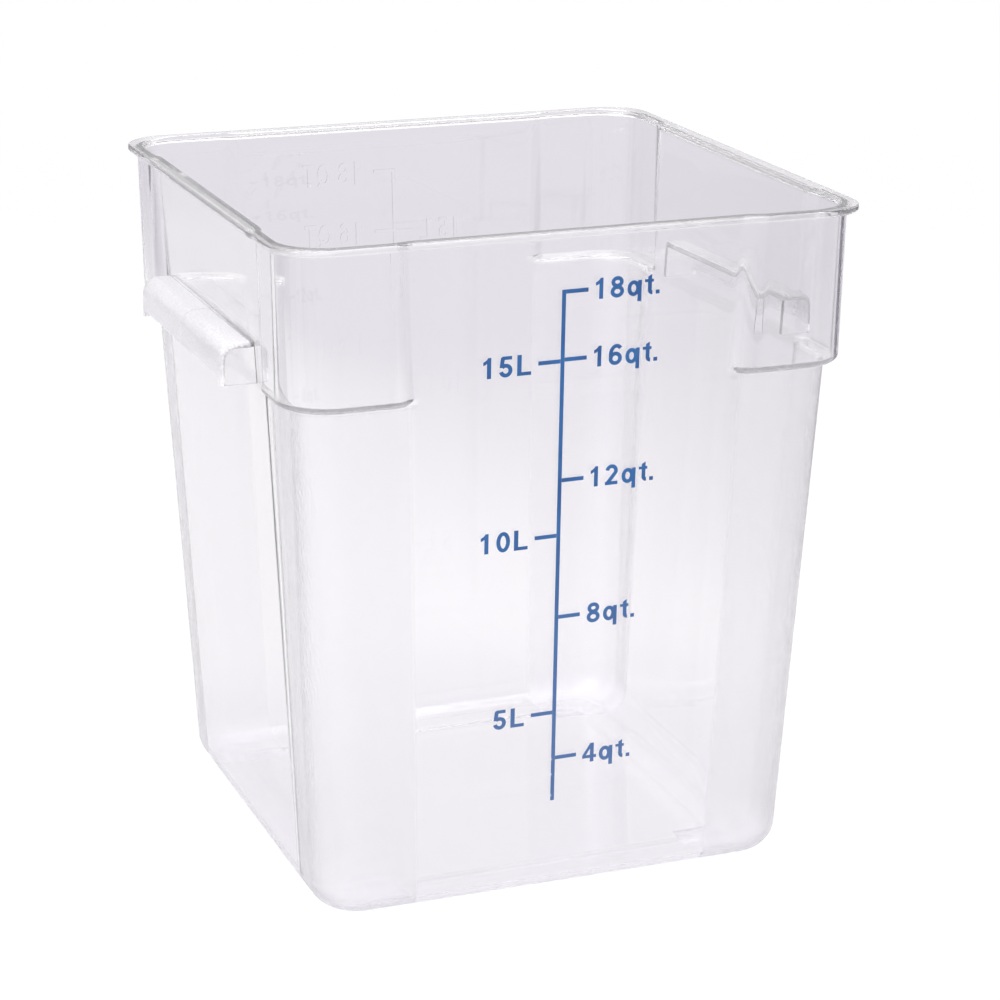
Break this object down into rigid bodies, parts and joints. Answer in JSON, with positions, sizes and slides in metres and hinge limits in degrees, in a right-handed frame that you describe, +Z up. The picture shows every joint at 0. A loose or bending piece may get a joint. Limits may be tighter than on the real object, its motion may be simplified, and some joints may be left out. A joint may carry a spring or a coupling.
{
  "type": "square food storage container",
  "caption": "Tall square clear tub with rounded corners, a turned-out lip, hollow side handles and a printed volume scale.",
  "frame": {"origin": "middle of the base, on the surface that the tub stands on", "axes": "+Z up out of the mouth; the printed front faces -Y; the handles are on the -X and +X sides"},
  "size_m": [0.2936, 0.278, 0.3206],
  "materials": {
    "clear_polycarbonate": "clear, glossy",
    "blue_ink": "satin print"
  },
  "bodies": {
    "root": {"tub": "clear_polycarbonate", "scale_line": "blue_ink", "quart_tick_18": "blue_ink", "quart_tick_16": "blue_ink", "quart_tick_12": "blue_ink", "quart_tick_8": "blue_ink", "quart_tick_4": "blue_ink", "litre_tick_15": "blue_ink", "litre_tick_10": "blue_ink", "litre_tick_5": "blue_ink"}
  },
  "joints": []
}
